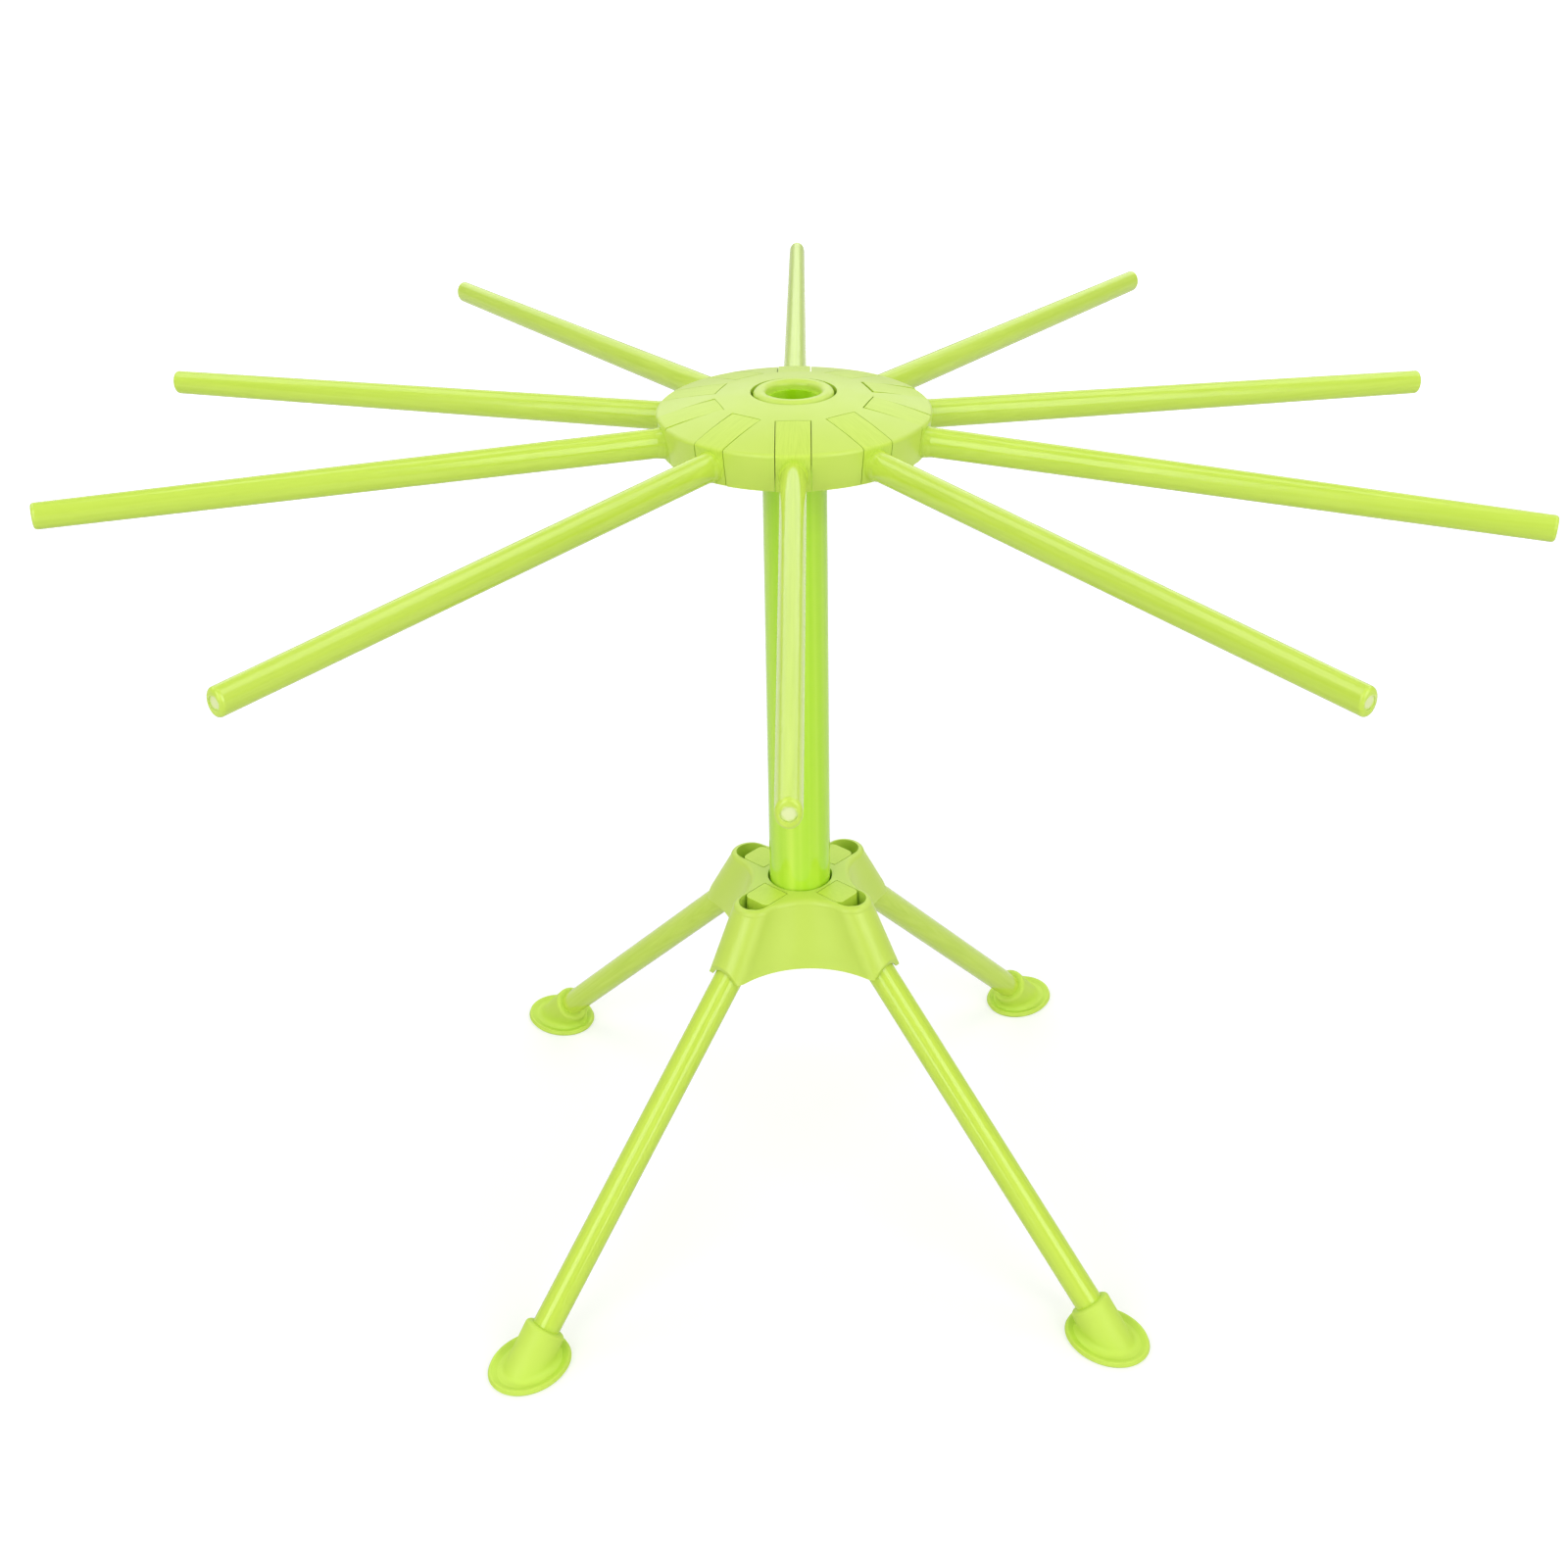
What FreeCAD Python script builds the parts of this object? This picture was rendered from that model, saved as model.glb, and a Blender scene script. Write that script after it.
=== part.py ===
import FreeCAD, Part
import math
import os
import Sketcher
from FreeCAD import Placement, Rotation, Vector

# Folding pasta drying rack: ten arms on a turning hub, a column, and a base hub with four legs.
# Millimetres. Z is up, the feet stand on Z = 0 and the column is on the Z axis.

doc = FreeCAD.newDocument("pasta_rack")
dims = doc.addObject("Spreadsheet::Sheet", "dims")
calc = doc.addObject("Spreadsheet::Sheet", "calc")

# Driving sizes
SIZES = [
    # turn of the hub on the column against the legs, degrees
    ("hub_turn", -3.25),
    # legs, from the pins in the base hub down to the feet
    ("leg_slope", 45.2),
    ("leg_long", 168.0),
    ("leg_end_high", 5.8),
    ("leg_into_block", 3.0),
    ("leg_top_radius", 5.0),
    ("leg_low_radius", 4.9),
    ("leg_room", 0.6),
    ("leg_block_wide", 10.4),
    ("leg_block_out", 23.2),
    ("leg_block_toe", 7.0),
    ("leg_block_round", 2.2),
    ("leg_inner", 12.7),
    ("leg_pin_reach", 19.0),
    ("leg_pin_dia", 5.0),
    ("leg_pin_stub", 1.5),
    ("leg_throat", 4.2),
    # feet
    ("sole_ahead", 2.8),
    ("sole_long", 15.3),
    ("sole_wide", 12.7),
    ("sole_thick", 2.1),
    ("sole_belly", 0.8),
    ("sole_edge", 0.5),
    ("rim_wide", 0.7),
    ("rim_soft", 0.3),
    ("dish_slope", 1.8),
    ("dish_deep", 0.8),
    ("hump_gap", 2.2),
    ("hump_blend", 2.4),
    ("collar_long", 8.0),
    ("collar_radius", 7.2),
    ("collar_round", 1.3),
    # base hub
    ("base_over_pin", 6.2),
    ("base_tall", 23.8),
    ("lobe_top_end", 31.2),
    ("lobe_low_end", 44.2),
    ("lobe_top_round", 7.3),
    ("lobe_low_round", 7.8),
    ("waist_top", 17.8),
    ("waist_low", 24.3),
    ("base_round", 2.0),
    ("hood_end", 40.2),
    ("hood_lean", 0.2),
    ("eye_end", 29.0),
    ("socket_floor", 2.0),
    ("socket_gap", 0.05),
    ("mouth_radius", 11.4),
    ("mouth_deep", 4.0),
    ("base_core_at", 17.2),
    ("base_core_dia", 6.0),
    ("base_core_deep", 9.0),
    # column
    ("column_show", 159.0),
    ("column_radius", 10.7),
    ("column_top_radius", 10.25),
    ("spigot_radius", 9.2),
    ("spigot_long", 14.9),
    ("tube_bore", 7.6),
    # ring on top
    ("ring_radius", 12.6),
    ("ring_hole", 8.5),
    ("ring_tall", 6.5),
    ("ring_round", 1.7),
    ("ring_gap", 0.8),
    ("seat_gap", 0.1),
    # round hub at the top
    ("hub_radius", 43.0),
    ("hub_low_radius", 41.6),
    ("hub_side", 11.5),
    ("hub_dome", 155.0),
    ("hub_well", 11.2),
    ("rim_round", 1.2),
    ("sector_core_in", 35.5),
    ("sector_core_out", 39.8),
    ("sector_wall", 2.0),
    ("sector_roof", 3.2),
    # root blocks of the arms and their slots
    ("block_wide", 10.4),
    ("block_inner", 24.1),
    ("side_gap", 0.25),
    ("end_gap", 0.3),
    ("arm_pin_reach", 30.0),
    ("arm_pin_dia", 4.0),
    ("arm_pin_stub", 2.3),
    ("pin_end_gap", 0.2),
    ("turn_gap", 0.05),
    ("arm_throat", 3.4),
    # bars of the arms
    ("arm_reach", 225.0),
    ("root_start", 41.0),
    ("root_flare", 3.6),
    ("root_up", 5.1),
    ("root_wide", 7.8),
    ("root_tall", 9.2),
    ("flare_wide", 1.8),
    ("flare_tall", 0.9),
    ("arm_drop", 4.3),
    ("tip_wide", 6.2),
    ("tip_tall", 7.8),
    ("tip_round", 1.1),
    ("gate_dia", 3.7),
    ("gate_deep", 0.4),
    # play in the hinges: how far each arm hangs below its nominal place, degrees
    ("sag_01", 0.79),
    ("sag_02", -0.11),
    ("sag_03", 1.07),
    ("sag_04", 1.64),
    ("sag_05", -0.16),
    ("sag_06", -0.88),
    ("sag_07", 0.11),
    ("sag_08", 0.13),
    ("sag_09", -1.48),
    ("sag_10", -0.88),
]
for row, (alias, number) in enumerate(SIZES, start=1):
    dims.set("A%d" % row, alias)
    dims.set("B%d" % row, str(number))
    dims.setAlias("B%d" % row, alias)
doc.recompute()

# Sizes that follow from the driving sizes
FOLLOW = [
    # heights from the ground up
    ("leg_pin_high", "dims.leg_end_high + dims.leg_long * sin(dims.leg_slope)"),
    ("base_top", "calc.leg_pin_high + dims.base_over_pin"),
    ("base_low", "calc.base_top - dims.base_tall"),
    ("hub_low", "calc.base_top + dims.column_show"),
    ("hub_rim", "calc.hub_low + dims.hub_side"),
    ("root_high", "calc.hub_low + dims.root_up"),
    ("tip_high", "calc.root_high - dims.arm_drop"),
    ("spigot_top", "calc.hub_low + dims.spigot_long"),
    ("ring_seat", "calc.hub_low + dims.hub_well"),
    ("ring_top", "calc.ring_seat + dims.ring_tall"),
    # hub
    ("dome_top", "calc.hub_rim + dims.hub_dome - sqrt(dims.hub_dome^2 - dims.hub_radius^2)"),
    ("hub_bore", "dims.spigot_radius + dims.turn_gap"),
    ("bore_high", "calc.dome_top - dims.hub_dome + sqrt(dims.hub_dome^2 - calc.hub_bore^2)"),
    ("well_radius", "dims.ring_radius + dims.ring_gap"),
    ("slot_wide", "dims.block_wide + 2 * dims.side_gap"),
    ("slot_half", "calc.slot_wide / 2"),
    ("slot_inner", "dims.block_inner - dims.end_gap"),
    ("beyond_rim", "dims.hub_radius + 12"),
    ("block_over", "dims.hub_radius + 4"),
    ("above_dome", "calc.dome_top + 8"),
    ("below_hub", "calc.hub_low - 4"),
    ("arm_pin_high", "calc.hub_low + dims.arm_pin_reach - dims.block_inner"),
    ("arm_pin_radius", "dims.arm_pin_dia / 2"),
    ("arm_eye_radius", "dims.arm_pin_dia / 2 + dims.turn_gap"),
    ("arm_pin_over", "dims.block_wide + 2 * dims.arm_pin_stub"),
    ("arm_eye_over", "calc.arm_pin_over + 2 * dims.pin_end_gap"),
    ("arm_throat_in", "dims.arm_pin_reach - dims.arm_throat / 2"),
    ("arm_throat_out", "dims.arm_pin_reach + dims.arm_throat / 2"),
    ("arm_heel", "dims.arm_pin_reach - dims.block_inner"),
    ("core_half_in", "dims.sector_core_in * sin(18) - calc.slot_half - dims.sector_wall"),
    ("core_half_out", "dims.sector_core_out * sin(18) - calc.slot_half - dims.sector_wall"),
    ("core_deep", "calc.hub_rim - dims.sector_roof - calc.hub_low"),
    # arm bars
    ("flare_half", "(dims.root_wide + dims.flare_wide) / 2"),
    ("flare_half_tall", "(dims.root_tall + dims.flare_tall) / 2"),
    ("neck_at", "dims.root_start + dims.root_flare"),
    ("neck_half", "dims.root_wide / 2"),
    ("neck_half_tall", "dims.root_tall / 2"),
    ("tip_half", "dims.tip_wide / 2"),
    ("tip_half_tall", "dims.tip_tall / 2"),
    ("gate_radius", "dims.gate_dia / 2"),
    # column and ring
    ("column_low", "calc.base_low + dims.socket_floor"),
    ("ring_low", "calc.ring_seat + dims.seat_gap"),
    # base hub
    ("past_lobes", "dims.lobe_low_end + 8"),
    ("above_base", "calc.base_top + 10"),
    ("below_base", "calc.base_low - 10"),
    ("base_core_radius", "dims.base_core_dia / 2"),
    ("hood_low_x", "dims.hood_end - dims.hood_lean * (calc.base_low - calc.below_base)"),
    ("hood_high_x", "dims.hood_end + dims.hood_lean * (calc.above_base - calc.base_low)"),
    ("hood_over", "4 * dims.lobe_low_round"),
    ("socket_radius", "dims.column_radius + dims.socket_gap"),
    ("mouth_low", "calc.base_top - dims.mouth_deep"),
    # leg slots
    ("leg_slot_wide", "dims.leg_block_wide + 2 * dims.side_gap"),
    ("leg_slot_half", "calc.leg_slot_wide / 2"),
    ("leg_slot_inner", "dims.leg_inner - dims.end_gap"),
    ("eye_round_at", "dims.eye_end - calc.leg_slot_half"),
    ("leg_pin_radius", "dims.leg_pin_dia / 2"),
    ("leg_eye_radius", "dims.leg_pin_dia / 2 + dims.turn_gap"),
    ("leg_pin_over", "dims.leg_block_wide + 2 * dims.leg_pin_stub"),
    ("leg_eye_over", "calc.leg_pin_over + 2 * dims.pin_end_gap"),
    ("leg_throat_in", "dims.leg_pin_reach - dims.leg_throat / 2"),
    ("leg_throat_out", "dims.leg_pin_reach + dims.leg_throat / 2"),
    ("leg_heel", "dims.leg_pin_reach - dims.leg_inner"),
    ("leg_heel_low", "calc.leg_pin_high - calc.leg_heel"),
    # leg bars: points on their axis, which runs through the pins, and above it
    ("block_toe_x", "dims.leg_pin_reach + dims.leg_block_toe * cos(dims.leg_slope)"),
    ("block_toe_z", "calc.leg_pin_high - dims.leg_block_toe * sin(dims.leg_slope)"),
    ("bar_start_x", "dims.leg_pin_reach - dims.leg_into_block * cos(dims.leg_slope)"),
    ("bar_start_z", "calc.leg_pin_high + dims.leg_into_block * sin(dims.leg_slope)"),
    ("bar_end_x", "dims.leg_pin_reach + dims.leg_long * cos(dims.leg_slope)"),
    ("bar_end_z", "calc.leg_pin_high - dims.leg_long * sin(dims.leg_slope)"),
    ("bar_up_x", "calc.bar_start_x + dims.leg_top_radius * sin(dims.leg_slope)"),
    ("bar_up_z", "calc.bar_start_z + dims.leg_top_radius * cos(dims.leg_slope)"),
    ("bar_end_up_x", "calc.bar_end_x + dims.leg_low_radius * sin(dims.leg_slope)"),
    ("bar_end_up_z", "calc.bar_end_z + dims.leg_low_radius * cos(dims.leg_slope)"),
    ("leg_way_radius", "dims.leg_top_radius + dims.leg_room"),
    ("way_start_up_x", "calc.bar_start_x + calc.leg_way_radius * sin(dims.leg_slope)"),
    ("way_start_up_z", "calc.bar_start_z + calc.leg_way_radius * cos(dims.leg_slope)"),
    ("way_end_x", "dims.leg_pin_reach + 60 * cos(dims.leg_slope)"),
    ("way_end_z", "calc.leg_pin_high - 60 * sin(dims.leg_slope)"),
    ("way_end_up_x", "calc.way_end_x + calc.leg_way_radius * sin(dims.leg_slope)"),
    ("way_end_up_z", "calc.way_end_z + calc.leg_way_radius * cos(dims.leg_slope)"),
    # feet
    ("collar_at", "dims.leg_long - dims.collar_long"),
    ("collar_x", "dims.leg_pin_reach + calc.collar_at * cos(dims.leg_slope)"),
    ("collar_z", "calc.leg_pin_high - calc.collar_at * sin(dims.leg_slope)"),
    ("collar_lean", "dims.leg_slope - 90"),
    ("bore_at", "calc.collar_at - 2"),
    ("bore_start_x", "dims.leg_pin_reach + calc.bore_at * cos(dims.leg_slope)"),
    ("bore_start_z", "calc.leg_pin_high - calc.bore_at * sin(dims.leg_slope)"),
    ("grip_share", "(calc.bore_at + dims.leg_into_block) / (dims.leg_long + dims.leg_into_block)"),
    ("grip_radius", "dims.leg_top_radius + (dims.leg_low_radius - dims.leg_top_radius) * calc.grip_share"),
    ("grip_up_x", "calc.bore_start_x + calc.grip_radius * sin(dims.leg_slope)"),
    ("grip_up_z", "calc.bore_start_z + calc.grip_radius * cos(dims.leg_slope)"),
    ("sole_mid", "calc.bar_end_x + dims.sole_ahead"),
    ("sole_edge_long", "dims.sole_long - dims.sole_edge"),
    ("sole_edge_wide", "dims.sole_wide - dims.sole_edge"),
    ("dish_long", "calc.sole_edge_long - dims.rim_wide"),
    ("dish_wide", "calc.sole_edge_wide - dims.rim_wide"),
    ("floor_high", "dims.sole_thick - dims.dish_deep"),
    ("floor_long", "calc.dish_long - dims.dish_slope"),
    ("floor_wide", "calc.dish_wide - dims.dish_slope"),
    ("hump_long", "calc.floor_long - dims.hump_gap"),
    ("hump_wide", "calc.floor_wide - dims.hump_gap"),
]

# Outline of the base hub at each level: the foot, then steps round the top edge, from 0 to 90 degrees
EDGE_STEPS = [0, 22.5, 45, 67.5, 90]
LEVELS = [("low", "dims.lobe_low_end", "dims.lobe_low_round", "dims.waist_low", "0", "calc.base_low")]
for step, angle in enumerate(EDGE_STEPS):
    inset = "dims.base_round * (1 - cos(%s))" % angle
    height = "calc.base_top - dims.base_round * (1 - sin(%s))" % angle
    level = "edge%d_" % step
    LEVELS.append((level, "dims.lobe_top_end", "dims.lobe_top_round", "dims.waist_top", inset, height))
for level, end, tip, waist, inset, height in LEVELS:
    FOLLOW += [
        (level + "high", height),
        (level + "tip", tip + " - " + inset),
        (level + "centre", end + " - " + tip),
        (level + "less", tip + " - " + waist),
        (level + "far", "(calc.%scentre^2 - calc.%sless^2)" % (level, level)
                        + " / (2 * calc.%sless + sqrt(2) * calc.%scentre)" % (level, level)),
        (level + "hollow", "calc.%sfar - %s + %s" % (level, waist, inset)),
        (level + "share", "calc.%stip / (calc.%stip + calc.%shollow)" % (level, level, level)),
        (level + "along", "calc.%scentre + (calc.%sfar / sqrt(2) - calc.%scentre) * calc.%sshare"
                          % (level, level, level, level)),
        (level + "aside", "calc.%sfar / sqrt(2) * calc.%sshare" % (level, level)),
    ]
for row, (alias, formula) in enumerate(FOLLOW, start=1):
    calc.set("A%d" % row, alias)
    calc.setAlias("B%d" % row, alias)
for row, (alias, formula) in enumerate(FOLLOW, start=1):
    calc.set("B%d" % row, "=" + formula.replace("calc.", ""))
doc.recompute()


# Number held by a sheet, a minus in front turns its sign
def number(ref):
    if isinstance(ref, (int, float)):
        return float(ref)
    sign = 1.0
    if ref.startswith("-"):
        sign = -1.0
        ref = ref[1:]
    holder, alias = ref.split(".")
    return sign * float(doc.getObject(holder).get(alias))


def origin_part(body, role):
    for part in body.Origin.OriginFeatures:
        if part.Role == role:
            return part
    raise ValueError(role)


def new_body(name):
    body = doc.addObject("PartDesign::Body", name)
    body.Label = name
    return body


# Sketch on one of the body's own planes, moved along the plane's normal where a height is given
def new_sketch(body, plane, tag, offset=None):
    sketch = body.newObject("Sketcher::SketchObject", body.Name + "_" + tag)
    sketch.AttachmentSupport = (origin_part(body, plane), [""])
    sketch.MapMode = "FlatFace"
    if offset is not None:
        sketch.AttachmentOffset = Placement(Vector(0, 0, number(offset)), Rotation())
        sketch.setExpression("AttachmentOffset.Base.z", offset)
    return sketch


# Holds one point of the sketch at its place
def pin_point(sketch, geo, pos, x, y):
    for kind, ref, axis in (("DistanceX", x, -2), ("DistanceY", y, -1)):
        if isinstance(ref, (int, float)) and ref == 0:
            sketch.addConstraint(Sketcher.Constraint("PointOnObject", geo, pos, axis))
            continue
        value = number(ref)
        if value < 0:
            index = sketch.addConstraint(Sketcher.Constraint(kind, geo, pos, -1, 1, -value))
            text = ref[1:] if ref.startswith("-") else "-" + ref
        else:
            index = sketch.addConstraint(Sketcher.Constraint(kind, -1, 1, geo, pos, value))
            text = ref
        sketch.setExpression("Constraints[%d]" % index, text)


# Closed outline of straight edges and arcs.
# A corner is (x, y) or (x, y, radius, turn): the arc to the next corner turns left (1) or right (-1).
def outline(sketch, corners):
    edges = []
    for i, corner in enumerate(corners):
        after = corners[(i + 1) % len(corners)]
        a = Vector(number(corner[0]), number(corner[1]), 0)
        b = Vector(number(after[0]), number(after[1]), 0)
        if len(corner) == 2:
            geo = sketch.addGeometry(Part.LineSegment(a, b))
            edges.append((geo, 1, 2))
            continue
        radius = number(corner[2])
        turn = corner[3]
        middle = (a + b) / 2
        half = (b - a).Length / 2
        side = Vector(-(b - a).y, (b - a).x, 0).normalize()
        centre = middle + side * (turn * math.sqrt(max(radius ** 2 - half ** 2, 0)))
        circle = Part.Circle(centre, Vector(0, 0, 1), radius)
        start = math.atan2(a.y - centre.y, a.x - centre.x)
        end = math.atan2(b.y - centre.y, b.x - centre.x)
        if turn > 0:
            geo = sketch.addGeometry(Part.ArcOfCircle(circle, start, end))
            edges.append((geo, 1, 2))
        else:
            geo = sketch.addGeometry(Part.ArcOfCircle(circle, end, start))
            edges.append((geo, 2, 1))
    for i, edge in enumerate(edges):
        after = edges[(i + 1) % len(edges)]
        sketch.addConstraint(Sketcher.Constraint("Coincident", edge[0], edge[2], after[0], after[1]))
    for edge, corner in zip(edges, corners):
        pin_point(sketch, edge[0], edge[1], corner[0], corner[1])
        if len(corner) > 2:
            index = sketch.addConstraint(Sketcher.Constraint("Radius", edge[0], number(corner[2])))
            sketch.setExpression("Constraints[%d]" % index, corner[2])


def circle(sketch, x, y, radius):
    centre = Vector(number(x), number(y), 0)
    geo = sketch.addGeometry(Part.Circle(centre, Vector(0, 0, 1), number(radius)))
    pin_point(sketch, geo, 3, x, y)
    index = sketch.addConstraint(Sketcher.Constraint("Radius", geo, number(radius)))
    sketch.setExpression("Constraints[%d]" % index, radius)


# Ellipse with its two half widths along the sketch's axes
def oval(sketch, x, y, half_x, half_y):
    centre = Vector(number(x), number(y), 0)
    along_x = Vector(number(half_x), 0, 0)
    along_y = Vector(0, number(half_y), 0)
    wide = number(half_x) > number(half_y)
    far = along_x if wide else along_y
    near = along_y if wide else along_x * -1
    geo = sketch.addGeometry(Part.Ellipse(centre + far, centre + near, centre))
    sketch.exposeInternalGeometry(geo)
    pin_point(sketch, geo, 3, x, y)
    sketch.addConstraint(Sketcher.Constraint("Horizontal" if wide else "Vertical", geo + 1))
    for line, ref in ((geo + 1, half_x if wide else half_y), (geo + 2, half_y if wide else half_x)):
        index = sketch.addConstraint(Sketcher.Constraint("Distance", line, 2 * number(ref)))
        sketch.setExpression("Constraints[%d]" % index, "2 * " + ref)


# Construction line in a sketch, used as the axis of a turned feature
def axis_line(sketch, x, y, far_x, far_y):
    a = Vector(number(x), number(y), 0)
    b = Vector(number(far_x), number(far_y), 0)
    geo = sketch.addGeometry(Part.LineSegment(a, b), True)
    pin_point(sketch, geo, 1, x, y)
    pin_point(sketch, geo, 2, far_x, far_y)


def feature(body, kind, tag, sketch):
    made = body.newObject("PartDesign::" + kind, body.Name + "_" + tag)
    made.Profile = sketch
    sketch.Visibility = False
    return made


# Straight-sided body or hole through a row of sketches
def loft(body, kind, tag, sketches):
    made = feature(body, kind, tag, sketches[0])
    made.Sections = sketches[1:]
    made.Ruled = True
    for sketch in sketches:
        sketch.Visibility = False
    return made


# Pad or pocket by the same amount on both sides of the sketch
def both_sides(body, kind, tag, sketch, length):
    made = feature(body, kind, tag, sketch)
    made.SideType = "Symmetric"
    made.Length = number(length)
    made.setExpression("Length", length)
    return made


def one_side(body, kind, tag, sketch, length, reverse=False):
    made = feature(body, kind, tag, sketch)
    made.Length = number(length)
    made.setExpression("Length", length)
    made.Reversed = reverse
    return made


def turned(body, kind, tag, sketch, axis="V_Axis"):
    made = feature(body, kind, tag, sketch)
    made.ReferenceAxis = (sketch, [axis])
    made.Angle = 360
    return made


def around(body, tag, originals, count):
    made = body.newObject("PartDesign::PolarPattern", body.Name + "_" + tag)
    made.Originals = originals
    made.Axis = (origin_part(body, "Z_Axis"), [""])
    made.Angle = 360
    made.Occurrences = count
    body.Tip = made
    return made


# Rounds the edges of a feature that a test picks
def rounded(body, tag, base, radius, wanted):
    doc.recompute()
    names = []
    for i, edge in enumerate(base.Shape.Edges, start=1):
        if wanted(edge):
            names.append("Edge%d" % i)
    made = body.newObject("PartDesign::Fillet", body.Name + "_" + tag)
    made.Base = (base, names)
    made.Radius = number(radius)
    made.setExpression("Radius", radius)
    return made


def turn_about_z(body, degrees, formula=None):
    body.Placement = Placement(Vector(0, 0, 0), Rotation(Vector(0, 0, 1), degrees))
    if formula:
        body.setExpression("Placement.Rotation.Angle", formula)


# Turns an arm to its slot, then about its own pins by its sag
def hang(body, index):
    to_slot = "placement(vector(0; 0; 0); rotation(vector(0; 0; 1); dims.hub_turn + %d))" % (36 * index - 90)
    about_pin = "placement(vector(0; 0; 0); rotation(vector(0; 1; 0); dims.sag_%02d)" % (index + 1)
    about_pin += "; vector(dims.arm_pin_reach; 0; calc.arm_pin_high))"
    body.setExpression("Placement", to_slot + " * " + about_pin)


# Whether an edge is a full circle of one radius about the Z axis
def is_ring(edge, radius, low, high):
    if not isinstance(edge.Curve, Part.Circle):
        return False
    if abs(edge.Curve.Radius - radius) > 0.02:
        return False
    return low < edge.Curve.Center.z < high


HUB_TURN = number("dims.hub_turn")


# Hub: domed disc with a bore, a well for the ring and ten slots
def make_hub():
    body = new_body("top_hub")
    sketch = new_sketch(body, "XZ_Plane", "disc")
    outline(sketch, [
        ("calc.hub_bore", "calc.hub_low"),
        ("dims.hub_low_radius", "calc.hub_low"),
        ("dims.hub_radius", "calc.hub_rim", "dims.hub_dome", 1),
        ("calc.hub_bore", "calc.bore_high"),
    ])
    disc = turned(body, "Revolution", "disc_turn", sketch)
    rim_high = number("calc.hub_rim")
    rim = rounded(body, "rim", disc, "dims.rim_round",
                  lambda e: is_ring(e, number("dims.hub_radius"), rim_high - 0.1, rim_high + 0.1))
    sketch = new_sketch(body, "XY_Plane", "well", "calc.ring_seat")
    circle(sketch, 0, 0, "calc.well_radius")
    well = one_side(body, "Pocket", "well_cut", sketch, "calc.hub_rim", True)
    sketch = new_sketch(body, "XY_Plane", "slot", "calc.below_hub")
    outline(sketch, [
        ("calc.slot_inner", "-calc.slot_half"),
        ("calc.beyond_rim", "-calc.slot_half"),
        ("calc.beyond_rim", "calc.slot_half"),
        ("calc.slot_inner", "calc.slot_half"),
    ])
    slot = one_side(body, "Pocket", "slot_cut", sketch, "calc.hub_rim", True)
    sketch = new_sketch(body, "XZ_Plane", "eye")
    circle(sketch, "dims.arm_pin_reach", "calc.arm_pin_high", "calc.arm_eye_radius")
    eye = both_sides(body, "Pocket", "eye_cut", sketch, "calc.arm_eye_over")
    sketch = new_sketch(body, "XZ_Plane", "throat")
    outline(sketch, [
        ("calc.arm_throat_in", "calc.below_hub"),
        ("calc.arm_throat_out", "calc.below_hub"),
        ("calc.arm_throat_out", "calc.arm_pin_high"),
        ("calc.arm_throat_in", "calc.arm_pin_high"),
    ])
    throat = both_sides(body, "Pocket", "throat_cut", sketch, "calc.arm_eye_over")
    around(body, "slots", [slot, eye, throat], 10)
    sketch = new_sketch(body, "XY_Plane", "core", "calc.hub_low")
    outline(sketch, [
        ("dims.sector_core_in", "-calc.core_half_in"),
        ("dims.sector_core_out", "-calc.core_half_out"),
        ("dims.sector_core_out", "calc.core_half_out"),
        ("dims.sector_core_in", "calc.core_half_in"),
    ])
    sketch.AttachmentOffset = Placement(Vector(0, 0, number("calc.hub_low")), Rotation(Vector(0, 0, 1), 18))
    core = one_side(body, "Pocket", "core_cut", sketch, "calc.core_deep", True)
    around(body, "cores", [core], 10)
    turn_about_z(body, HUB_TURN - 90, "dims.hub_turn - 90")
    return body


# Ring on the spigot: holds the hub down and stands proud of the dome
def make_collar():
    body = new_body("top_collar")
    sketch = new_sketch(body, "XZ_Plane", "ring")
    outline(sketch, [
        ("dims.spigot_radius", "calc.ring_low"),
        ("dims.ring_radius", "calc.ring_low"),
        ("dims.ring_radius", "calc.ring_top"),
        ("dims.ring_hole", "calc.ring_top"),
        ("dims.ring_hole", "calc.spigot_top"),
        ("dims.spigot_radius", "calc.spigot_top"),
    ])
    ring = turned(body, "Revolution", "ring_turn", sketch)
    top = number("calc.ring_top")
    rounded(body, "lip", ring, "dims.ring_round",
            lambda e: isinstance(e.Curve, Part.Circle) and abs(e.Curve.Center.z - top) < 0.05)
    return body


# Column: tapered tube with a thinner spigot for the hub
def make_column():
    body = new_body("column_tube")
    sketch = new_sketch(body, "XZ_Plane", "tube")
    outline(sketch, [
        ("dims.tube_bore", "calc.column_low"),
        ("dims.column_radius", "calc.column_low"),
        ("dims.column_radius", "calc.base_top"),
        ("dims.column_top_radius", "calc.hub_low"),
        ("dims.spigot_radius", "calc.hub_low"),
        ("dims.spigot_radius", "calc.spigot_top"),
        ("dims.tube_bore", "calc.spigot_top"),
    ])
    turned(body, "Revolution", "tube_turn", sketch)
    return body


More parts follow.
